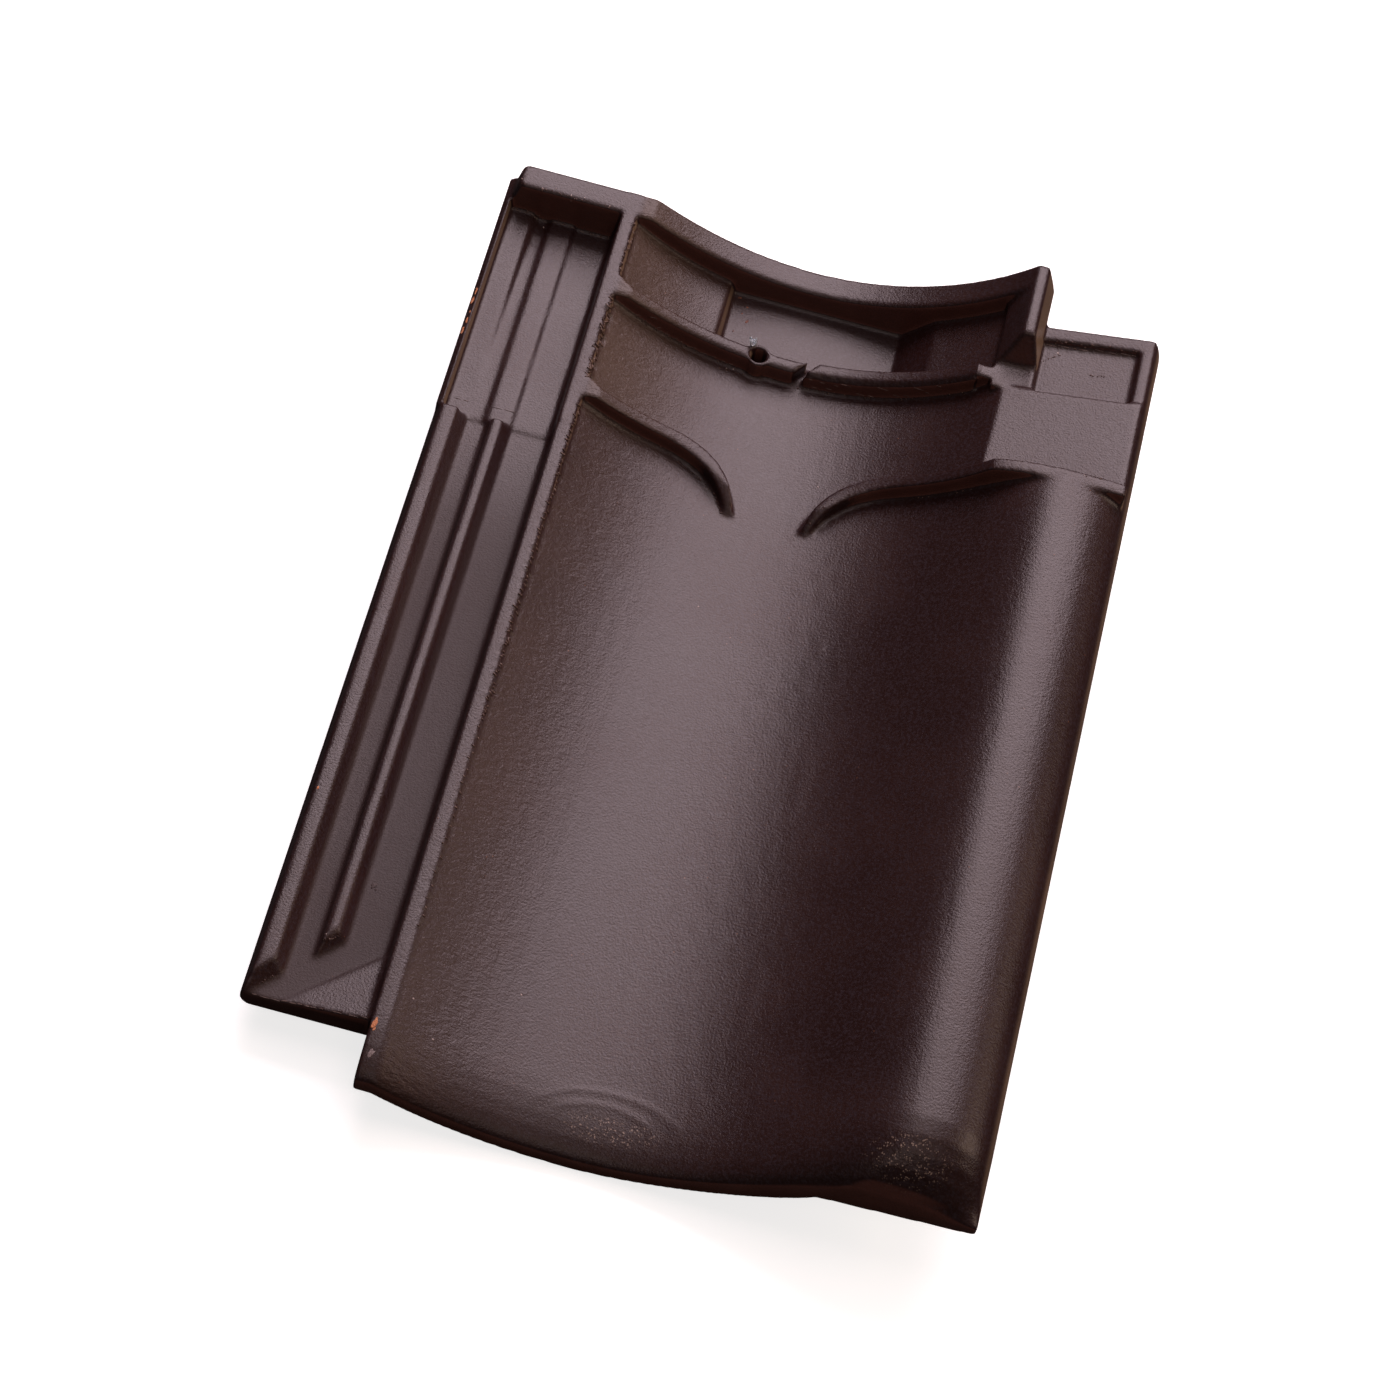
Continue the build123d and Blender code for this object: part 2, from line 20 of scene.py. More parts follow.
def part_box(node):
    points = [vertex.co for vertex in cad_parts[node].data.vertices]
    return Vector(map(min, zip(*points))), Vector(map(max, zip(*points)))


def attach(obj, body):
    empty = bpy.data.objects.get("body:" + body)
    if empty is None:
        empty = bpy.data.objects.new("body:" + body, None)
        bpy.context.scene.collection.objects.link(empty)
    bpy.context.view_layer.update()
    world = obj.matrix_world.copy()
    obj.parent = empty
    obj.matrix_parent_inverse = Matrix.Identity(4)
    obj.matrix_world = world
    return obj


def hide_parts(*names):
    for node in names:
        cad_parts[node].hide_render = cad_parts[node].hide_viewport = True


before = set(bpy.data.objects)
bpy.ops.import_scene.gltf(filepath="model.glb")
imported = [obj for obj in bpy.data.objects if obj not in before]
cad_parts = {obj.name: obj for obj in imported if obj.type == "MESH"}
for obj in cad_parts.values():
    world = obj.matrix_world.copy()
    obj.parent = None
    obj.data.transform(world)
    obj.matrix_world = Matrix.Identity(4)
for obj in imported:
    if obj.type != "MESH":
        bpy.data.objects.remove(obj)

LOG = logging.getLogger("roof_tile")
MM = 0.001
HALF_TURN = 180.0
TILE_NODE = "roof_tile"
BODY = "root"

Axes = tuple[float, float, float]
Colour = tuple[float, float, float]
Span = tuple[float, float]
Rows = tuple[tuple[float, ...], ...]

WHITE: Colour = (1.0, 1.0, 1.0)


def added(name: str, data: bpy.types.ID) -> bpy.types.Object:
    """Adds an object to the scene.

    Args:
        name: The object's name.
        data: Its mesh, lamp or camera.

    Returns:
        The object.
    """
    thing = bpy.data.objects.new(name, data)
    bpy.context.scene.collection.objects.link(thing)
    return thing


def meshed(name: str, shell: bmesh.types.BMesh) -> bpy.types.Mesh:
    """Turns a shell into a mesh, and frees the shell.

    Args:
        name: The mesh's name.
        shell: The shell, which can't be used afterwards.

    Returns:
        The mesh.
    """
    mesh = bpy.data.meshes.new(name)
    shell.to_mesh(mesh)
    shell.free()
    return mesh


class Maths(Enum):
    """Operations of the shader's Math node that the expressions use."""

    ADD = "ADD"
    SUBTRACT = "SUBTRACT"
    MULTIPLY = "MULTIPLY"
    DIVIDE = "DIVIDE"


class Value:
    """A shader socket that carries a number, written into Python expressions."""

    def __init__(self, nodes: "Nodes", socket: bpy.types.NodeSocket) -> None:
        """Wraps one output socket.

        Args:
            nodes: The nodes that the socket belongs to.
            socket: The output socket.
        """
        self.nodes = nodes
        self.socket = socket

    def maths(self, operation: Maths, first: "Value | float", second: "Value | float") -> "Value":
        """Adds one Math node.

        Args:
            operation: What the node works out.
            first: Its first operand.
            second: Its second operand.

        Returns:
            The node's result.
        """
        inputs = {0: first, 1: second}
        node = self.nodes.node("ShaderNodeMath", {"operation": operation.value}, inputs)
        return Value(self.nodes, node.outputs[0])

    def __add__(self, other: "Value | float") -> "Value":
        """Returns self + other."""
        return self.maths(Maths.ADD, self, other)

    __radd__ = __add__

    def __sub__(self, other: "Value | float") -> "Value":
        """Returns self - other."""
        return self.maths(Maths.SUBTRACT, self, other)

    def __rsub__(self, other: float) -> "Value":
        """Returns other - self."""
        return self.maths(Maths.SUBTRACT, other, self)

    def __mul__(self, other: "Value | float") -> "Value":
        """Returns self * other."""
        return self.maths(Maths.MULTIPLY, self, other)

    __rmul__ = __mul__

    def __truediv__(self, other: "Value | float") -> "Value":
        """Returns self / other."""
        return self.maths(Maths.DIVIDE, self, other)

    def between(self, low: float, high: float) -> "Value":
        """Makes a smooth step from 0 at low to 1 at high.

        Args:
            low: Where the step is 0.
            high: Where it is 1. It may be under low, which turns the step round.

        Returns:
            The step's height, from 0 to 1.
        """
        inputs = {"Value": self, "From Min": min(low, high), "From Max": max(low, high)}
        node = self.nodes.node("ShaderNodeMapRange", {"interpolation_type": "SMOOTHSTEP"}, inputs)
        step = Value(self.nodes, node.outputs["Result"])
        return 1.0 - step if low > high else step

    def spread(self, low: float, high: float) -> "Value":
        """Returns low where the value is 0 and high where it is 1, along a straight line."""
        return low + (high - low) * self


class Nodes:
    """A node tree whose nodes are added one by one."""

    def __init__(self, tree: bpy.types.NodeTree) -> None:
        """Keeps the tree.

        Args:
            tree: The tree of a material or a world.
        """
        self.tree = tree

    def node(self, kind: str, settings: dict | None = None,
             inputs: dict | None = None) -> bpy.types.Node:
        """Adds any node.

        Args:
            kind: The node's Blender type.
            settings: Its properties, set before its inputs.
            inputs: Numbers, colours, Values or sockets for its inputs, by name or number.

        Returns:
            The node.
        """
        node = self.tree.nodes.new(kind)
        for key, setting in (settings or {}).items():
            setattr(node, key, setting)
        for key, source in (inputs or {}).items():
            self.feed(node.inputs[key], source)
        return node

    def feed(self, socket: bpy.types.NodeSocket, source: object) -> None:
        """Sets or links one input socket.

        Args:
            socket: The input.
            source: A number, a colour, a Value or an output socket.
        """
        if isinstance(source, Value):
            self.tree.links.new(source.socket, socket)
        elif isinstance(source, bpy.types.NodeSocket):
            self.tree.links.new(source, socket)
        elif isinstance(source, tuple) and socket.type == "RGBA":
            socket.default_value = (*source, 1.0)
        else:
            socket.default_value = source

    def show(self, seen: bpy.types.NodeSocket, unseen: bpy.types.NodeSocket, output: str) -> None:
        """Ends the tree in one shader for the camera and another for all other rays.

        Args:
            seen: The shader that the camera sees.
            unseen: The shader that lights and reflects.
            output: The name of the tree's output node.
        """
        camera = self.node("ShaderNodeLightPath").outputs["Is Camera Ray"]
        mix = self.node("ShaderNodeMixShader", None, {0: camera, 1: unseen, 2: seen})
        self.feed(self.tree.nodes[output].inputs["Surface"], mix.outputs[0])


@dataclass(frozen=True)
class Clouds:
    """A cloudy noise.

    Its patches lie about size_mm apart, detail is its number of finer layers and roughness their
    strength, and stretch scales its axes where the patches aren't round.
    """

    size_mm: float
    detail: float = 2.0
    roughness: float = 0.5
    stretch: Axes | None = None


@dataclass(frozen=True)
class Relief:
    """A bump: how far its full height stands out, and how much of it shows."""

    depth_mm: float
    strength: float


@dataclass(frozen=True)
class Oval:
    """An upright oval column: its middle, its half-sizes, and the squared reach of its edge."""

    x: float
    y: float
    wide: float
    deep: float
    edge: Span = (1.0, 0.2)


class Painter(Nodes):
    """A new material whose nodes are added one by one, ending in one Principled shader."""

    BEVEL_SAMPLES = 4

    def __init__(self, name: str) -> None:
        """Makes an empty material.

        Args:
            name: The material's name.
        """
        self.material = bpy.data.materials.new(name)
        self.material.use_nodes = True
        super().__init__(self.material.node_tree)
        self.shader = self.tree.nodes["Principled BSDF"]
        self.place = self.node("ShaderNodeTexCoord").outputs["Object"]

    def noise(self, clouds: Clouds) -> Value:
        """Adds a cloudy noise on the piece's own place.

        Args:
            clouds: What it is like.

        Returns:
            Its height, about 0.5 on average.
        """
        place = self.place
        if clouds.stretch is not None:
            sides = {0: place, 1: clouds.stretch}
            place = self.node("ShaderNodeVectorMath", {"operation": "MULTIPLY"}, sides).outputs[0]
        inputs = {"Vector": place, "Scale": 1 / (clouds.size_mm * MM), "Detail": clouds.detail,
                  "Roughness": clouds.roughness}
        return Value(self, self.node("ShaderNodeTexNoise", None, inputs).outputs["Fac"])

    def cells(self, size_mm: float) -> Value:
        """Returns the distance from the nearest of many scattered middles, as a share of a cell."""
        inputs = {"Vector": self.place, "Scale": 1 / (size_mm * MM)}
        return Value(self, self.node("ShaderNodeTexVoronoi", None, inputs).outputs["Distance"])

    def axis(self, name: str) -> Value:
        """Returns the piece's own X, Y or Z, in metres."""
        split = self.node("ShaderNodeSeparateXYZ", None, {"Vector": self.place})
        return Value(self, split.outputs[name])

    def facing(self, name: str) -> Value:
        """Returns how far the surface faces along X, Y or Z, from -1 to 1."""
        inputs = {"Vector": self.node("ShaderNodeTexCoord").outputs["Normal"]}
        return Value(self, self.node("ShaderNodeSeparateXYZ", None, inputs).outputs[name])

    def inside(self, oval: Oval) -> Value:
        """Returns 1 in the middle of an oval column, falling to 0 at its edge."""
        across, along = (self.axis("X") - oval.x) / oval.wide, (self.axis("Y") - oval.y) / oval.deep
        return (across * across + along * along).between(*oval.edge)

    def eased(self, radius_mm: float) -> bpy.types.NodeSocket:
        """Returns a normal that eases sharp edges over a small radius."""
        settings = {"samples": self.BEVEL_SAMPLES}
        return self.node("ShaderNodeBevel", settings, {"Radius": radius_mm * MM}).outputs["Normal"]

    def blend(self, share: Value | float, first: object, second: object) -> bpy.types.NodeSocket:
        """Mixes two colours.

        Args:
            share: How much of the second colour there is.
            first: The first colour or its socket.
            second: The second colour or its socket.

        Returns:
            The mixed colour.
        """
        mix = self.node("ShaderNodeMix", {"data_type": "RGBA"}, {0: share, 6: first, 7: second})
        return mix.outputs[2]

    def bump(self, height: Value, relief: Relief,
             under: bpy.types.NodeSocket | None = None) -> bpy.types.NodeSocket:
        """Turns a height into a bumped normal.

        Args:
            height: The height, from 0 to 1.
            relief: How deep the bump is.
            under: The normal that the bump lies on.

        Returns:
            The bumped normal.
        """
        inputs = {"Strength": relief.strength, "Distance": relief.depth_mm * MM, "Height": height}
        if under is not None:
            inputs["Normal"] = under
        return self.node("ShaderNodeBump", None, inputs).outputs["Normal"]

    def finish(self, **sockets: object) -> bpy.types.Material:
        """Feeds the Principled shader.

        Args:
            **sockets: The shader's inputs, with spaces as underscores.

        Returns:
            The finished material.
        """
        for key, source in sockets.items():
            self.feed(self.shader.inputs[key.replace("_", " ")], source)
        return self.material


@dataclass(frozen=True)
class SlipFinish:
    """Dark brown fired slip with a soft sheen on the weathered side, over bare clay underneath.

    A span is a smooth step from its first number to its second, or, where its name ends in
    _spread, the lowest and highest of what a noise gives.
    """

    # The slip's own colours, from place to place
    deep: Colour = (0.017, 0.0040, 0.0032)
    thin: Colour = (0.040, 0.014, 0.011)
    bluish: Colour = (0.036, 0.022, 0.027)
    cloud: Clouds = Clouds(45, 3.0)
    cloud_step: Span = (0.3, 0.75)
    blotch: Clouds = Clouds(9, 3.0, 0.6)
    thin_by_cloud: float = 0.45
    thin_by_blotch: float = 0.25
    haze: Clouds = Clouds(1.2, 2.0, 0.7)
    haze_step: Span = (0.40, 0.70)
    haze_share: float = 0.85

    # Dry, sandy slip on the pan's left flank, tan towards the head
    sandy: Colour = (0.040, 0.016, 0.010)
    flank_left: Span = (-0.0772, -0.074)
    flank_right: Span = (-0.026, -0.074)
    flank_up: Span = (0.2, 0.5)
    flank_spread: Span = (0.65, 1.0)
    sandy_spread: Span = (0.5, 1.0)
    tan: Colour = (0.098, 0.062, 0.042)
    tan_step: Span = (0.085, 0.105)
    tan_patches: Clouds = Clouds(2.2, 3.0, 0.65)
    tan_spread: Span = (0.35, 0.85)

    # Thin slip on the upright faces at the right side. On the upright faces at the foot, a reddish
    # brown that is painted light on those walls
    side: Colour = (0.28, 0.19, 0.12)
    side_facing: Span = (0.8, 0.95)
    side_up: Span = (0.6, 0.3)
    side_spread: Span = (0.5, 0.9)
    foot_wall_light: Colour = (0.16, 0.062, 0.047)
    foot_wall_light_facing: Span = (-0.8, -0.93)
    foot_wall_light_up: Span = (0.5, 0.3)
    foot_wall_light_spread: Span = (0.45, 0.95)

    # Clay specks, and pale glints in two spots at the foot
    speck: Colour = (0.24, 0.10, 0.05)
    speck_mm: float = 5.5
    speck_size: Span = (0.06, 0.02)
    speck_patches: Clouds = Clouds(30)
    speck_step: Span = (0.5, 0.62)
    speck_share: float = 0.8
    glint: Colour = (0.34, 0.25, 0.20)
    glint_mm: float = 0.75
    glint_size: Span = (0.46, 0.2)
    glint_patches: Clouds = Clouds(1.6)
    glint_step: Span = (0.47, 0.6)
    glint_spots: tuple[Oval, ...] = (
        Oval(0.1002, -0.1890, 0.0165, 0.0085), Oval(0.0034, -0.1850, 0.0200, 0.0062),
    )

    # Painted shade in the side lock's channels: a browner colour and more roughness, which darken
    # its floor. The floor lies below the strip along the tile's own lean
    channel_shade: Colour = (0.026, 0.011, 0.0095)
    lean_sine: float = 0.06847
    lean_cosine: float = 0.99765
    strip_height: float = 0.04105
    channel_shade_depth: Span = (-0.0092, -0.0107)
    channel_shade_side: Span = (-0.083, -0.086)
    channel_shade_length: Span = (0.10, 0.02)
    channel_shade_share: float = 0.7

    # Bare clay underneath, with an uneven edge
    clay: Colour = (0.33, 0.105, 0.045)
    clay_pale: Colour = (0.42, 0.16, 0.075)
    clay_patches: Clouds = Clouds(16, 4.0, 0.6)
    clay_edge: Clouds = Clouds(6, 3.0)
    clay_edge_spread: Span = (-0.125, 0.125)
    clay_down: Span = (-0.25, -0.45)

    # Fine relief, from the eased edges up
    edge_radius_mm: float = 0.7
    peel: Clouds = Clouds(3.4)
    peel_relief: Relief = Relief(0.07, 0.6)
    grain: Clouds = Clouds(0.8, 2.0, 0.6)
    grain_relief: Relief = Relief(0.19, 0.8)
    ripple: Clouds = Clouds(1.7, 2.0, 0.6, (0.4, 1.0, 1.0))
    ripple_relief: Relief = Relief(0.5, 0.9)

    # Roughness, and what each layer adds to it
    roughness: float = 0.27
    cloud_roughness: float = 0.05
    grain_roughness: float = 0.10
    sandy_roughness: float = 0.12
    channel_shade_roughness: float = 0.22
    clay_roughness: float = 0.42

    def channel_shaded(self, paint: Painter) -> Value:
        """Finds how much painted shade lies on the surface, standing in for the shade in the side
        lock's channels.

        Args:
            paint: The material being made.

        Returns:
            The share of painted shade, which is on the lock's floor towards the foot.
        """
        along, up = paint.axis("Y"), paint.axis("Z")
        height = up * self.lean_cosine - along * self.lean_sine - self.strip_height
        lock = paint.axis("X").between(*self.channel_shade_side)
        return height.between(*self.channel_shade_depth) * lock * along.between(*self.channel_shade_length)

    def sanded(self, paint: Painter, up: Value, cloud: Value) -> Value:
        """Finds how sandy the surface is.

        Args:
            paint: The material being made.
            up: How far the surface faces up.
            cloud: The slow cloudiness.

        Returns:
            The share of sandy slip, which is on the pan's left flank.
        """
        across = paint.axis("X")
        flank = across.between(*self.flank_left) * across.between(*self.flank_right)
        return flank * up.between(*self.flank_up) * cloud.spread(*self.flank_spread)

    def coat(self, paint: Painter, up: Value, sandy: Value, cloud: Value) -> bpy.types.NodeSocket:
        """Mixes the slip's colours.

        Args:
            paint: The material being made.
            up: How far the surface faces up.
            sandy: Where the slip is dry and sandy.
            cloud: The slow cloudiness.

        Returns:
            The slip's colour.
        """
        blotch = paint.noise(self.blotch)
        thin = cloud * self.thin_by_cloud + blotch * self.thin_by_blotch
        coat = paint.blend(thin, self.deep, self.thin)
        haze = paint.noise(self.haze).between(*self.haze_step)
        coat = paint.blend(haze * self.haze_share, coat, self.bluish)
        coat = paint.blend(sandy * blotch.spread(*self.sandy_spread), coat, self.sandy)
        tan = paint.noise(self.tan_patches).spread(*self.tan_spread)
        tan = tan * paint.axis("Y").between(*self.tan_step)
        coat = paint.blend(sandy * tan, coat, self.tan)
        side = paint.facing("X").between(*self.side_facing) * up.between(*self.side_up)
        coat = paint.blend(side * cloud.spread(*self.side_spread), coat, self.side)
        # Painted light on the upright faces that face the foot: a reddish brown over the slip
        foot_wall_light = paint.facing("Y").between(*self.foot_wall_light_facing) * up.between(*self.foot_wall_light_up)
        coat = paint.blend(foot_wall_light * blotch.spread(*self.foot_wall_light_spread), coat, self.foot_wall_light)
        specks = paint.cells(self.speck_mm).between(*self.speck_size)
        specks = specks * paint.noise(self.speck_patches).between(*self.speck_step)
        coat = paint.blend(specks * self.speck_share, coat, self.speck)
        for spot in self.glint_spots:
            glints = paint.inside(spot) * paint.cells(self.glint_mm).between(*self.glint_size)
            glints = glints * paint.noise(self.glint_patches).between(*self.glint_step)
            coat = paint.blend(glints, coat, self.glint)
        return coat

    def relief(self, paint: Painter, grain: Value, sandy: Value) -> bpy.types.NodeSocket:
        """Lays the fine reliefs over one another.

        Args:
            paint: The material being made.
            grain: The grain's height.
            sandy: Where the slip is dry and sandy.

        Returns:
            The normal.
        """
        eased = paint.eased(self.edge_radius_mm)
        peeled = paint.bump(paint.noise(self.peel), self.peel_relief, eased)
        grained = paint.bump(grain, self.grain_relief, peeled)
        return paint.bump(paint.noise(self.ripple) * sandy, self.ripple_relief, grained)

    def make(self) -> bpy.types.Material:
        """Makes the slip.

        Returns:
            The material.
        """
        paint = Painter("brown_slip")
        up = paint.facing("Z")
        cloud = paint.noise(self.cloud).between(*self.cloud_step)
        grain = paint.noise(self.grain)
        sandy = self.sanded(paint, up, cloud)
        channel_shade = self.channel_shaded(paint)
        edge = paint.noise(self.clay_edge).spread(*self.clay_edge_spread)
        below = (up + edge).between(*self.clay_down)
        # Painted shade on the side lock's floor: a browner colour over the slip
        coat = paint.blend(channel_shade * self.channel_shade_share, self.coat(paint, up, sandy, cloud), self.channel_shade)
        clay = paint.blend(paint.noise(self.clay_patches), self.clay, self.clay_pale)
        rough = (self.roughness + self.cloud_roughness * cloud + self.grain_roughness * grain
                 + self.sandy_roughness * sandy + self.channel_shade_roughness * channel_shade
                 + self.clay_roughness * below)
        return paint.finish(Base_Color=paint.blend(below, coat, clay), Roughness=rough,
                            Normal=self.relief(paint, grain, sandy))


@dataclass(frozen=True)
class GritFinish:
    """Plain rough finish of a chip, crumb or burr, mottled between two colours."""

    name: str
    dark: Colour
    light: Colour
    roughness: float
    mottle_mm: float = 0.8
    mottle_step: Span = (0.3, 0.7)
    mottle_relief: Relief = Relief(0.06, 0.8)
    mottle_roughness: float = 0.15

    def make(self) -> bpy.types.Material:
        """Makes the grit.

        Returns:
            The material.
        """
        paint = Painter(self.name)
        mottle = paint.noise(Clouds(self.mottle_mm, 3.0, 0.6))
        colour = paint.blend(mottle.between(*self.mottle_step), self.dark, self.light)
        rough = self.roughness + self.mottle_roughness * mottle
        return paint.finish(Base_Color=colour, Roughness=rough,
                            Normal=paint.bump(mottle, self.mottle_relief))


@dataclass(frozen=True)
class PressFrame:
    """Turns places on the tile itself, in mm from its foot and its left edge, into the frame's."""

    lean: float = math.radians(3.926379509)
    centre: Axes = (128.0, 198.190237, -27.539913)

    def turn(self, x: float, y: float, z: float) -> Vector:
        """Returns a direction on the tile as one in the frame."""
        return Vector((x, y * math.cos(self.lean) - z * math.sin(self.lean),
                       y * math.sin(self.lean) + z * math.cos(self.lean)))

    def place(self, x: float, y: float, z: float) -> Vector:
        """Returns a place on the tile as one in the frame, in metres."""
        return (self.turn(x, y, z) - Vector(self.centre)) * MM

    def back(self, place: Vector) -> Vector:
        """Turns a place in the frame into one on the tile.

        Args:
            place: The place, in metres.

        Returns:
            The same place from the tile's left edge and its foot, in mm.
        """
        x, y, z = place / MM + Vector(self.centre)
        return Vector((x, y * math.cos(self.lean) + z * math.sin(self.lean),
                       z * math.cos(self.lean) - y * math.sin(self.lean)))


class TopSkin:
    """The tile's upper surface, on which small things are set."""

    ABOVE_MM = 80.0

    def __init__(self, tile: bpy.types.Object) -> None:
        """Reads the tile's mesh.

        Args:
            tile: The tile's piece.
        """
        self.press = PressFrame()
        shell = bmesh.new()
        shell.from_mesh(tile.data)
        self.tree = BVHTree.FromBMesh(shell)
        shell.free()

    def at(self, x: float, y: float) -> tuple[Vector, Vector] | None:
        """Finds the surface under a place.

        Args:
            x: Millimetres from the tile's left edge.
            y: Millimetres from its foot.

        Returns:
            The point and its normal, or None beside the tile.
        """
        start = self.press.place(x, y, self.ABOVE_MM)
        point, normal, _, _ = self.tree.ray_cast(start, self.press.turn(0, 0, -1))
        return None if point is None else (point, normal)


@dataclass(frozen=True)
class Grain:
    """One rounded grain: its middle, its three sizes, and its turn from +X in degrees."""

    x: float
    y: float
    length: float
    width: float
    height: float
    turn: float
    rounds: int = 1


class Grit:
    """Many small rounded grains on the skin, gathered in one mesh."""

    RAGGED_SCALE = 1400
    RAGGED_DEPTH = 0.5
    SEED_RANGE = 50

    def __init__(self, name: str, skin: TopSkin) -> None:
        """Starts an empty mesh.

        Args:
            name: The piece's name.
            skin: The surface that the grains sit on.
        """
        self.name = name
        self.skin = skin
        self.shell = bmesh.new()

    def add(self, grain: Grain) -> list[bmesh.types.BMVert]:
        """Adds one grain, sunk by half into the surface.

        Args:
            grain: Where it lies and how large it is.

        Returns:
            Its points, none where there is no tile.
        """
        spot = self.skin.at(grain.x, grain.y)
        if spot is None:
            return []
        point, normal = spot
        turn = math.radians(grain.turn)
        along = Vector((math.cos(turn), math.sin(turn), 0))
        along = (along - normal * along.dot(normal)).normalized()
        axes = Matrix((along, normal.cross(along), normal)).transposed().to_4x4()
        sizes = (grain.length / 2 * MM, grain.width / 2 * MM, grain.height * MM, 1)
        seat = Matrix.Translation(point) @ axes @ Matrix.Diagonal(sizes)
        ball = bmesh.ops.create_icosphere(self.shell, subdivisions=grain.rounds, radius=1.0,
                                          matrix=seat)
        return ball["verts"]

    def add_ragged(self, grain: Grain, draw: random.Random) -> None:
        """Adds one flake with an uneven outline.

        Args:
            grain: Where it lies and how large it is.
            draw: Where the unevenness comes from.
        """
        verts = self.add(grain)
        if not verts:
            return
        middle = sum((vert.co for vert in verts), Vector()) / len(verts)
        seed = Vector([draw.uniform(0, self.SEED_RANGE) for _ in range(3)])
        for vert in verts:
            out = vert.co - middle
            reach = 1 + self.RAGGED_DEPTH * noise.noise(out * self.RAGGED_SCALE + seed)
            vert.co = middle + out * reach

    def piece(self, finish: GritFinish) -> bpy.types.Object:
        """Makes the gathered grains one piece on the tile.

        Args:
            finish: What they are made of.

        Returns:
            The piece.
        """
        bmesh.ops.recalc_face_normals(self.shell, faces=self.shell.faces)
        mesh = meshed(self.name, self.shell)
        mesh.shade_smooth()
        mesh.materials.append(finish.make())
        piece = added(self.name, mesh)
        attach(piece, BODY)
        LOG.info("%s has %d faces", self.name, len(mesh.polygons))
        return piece


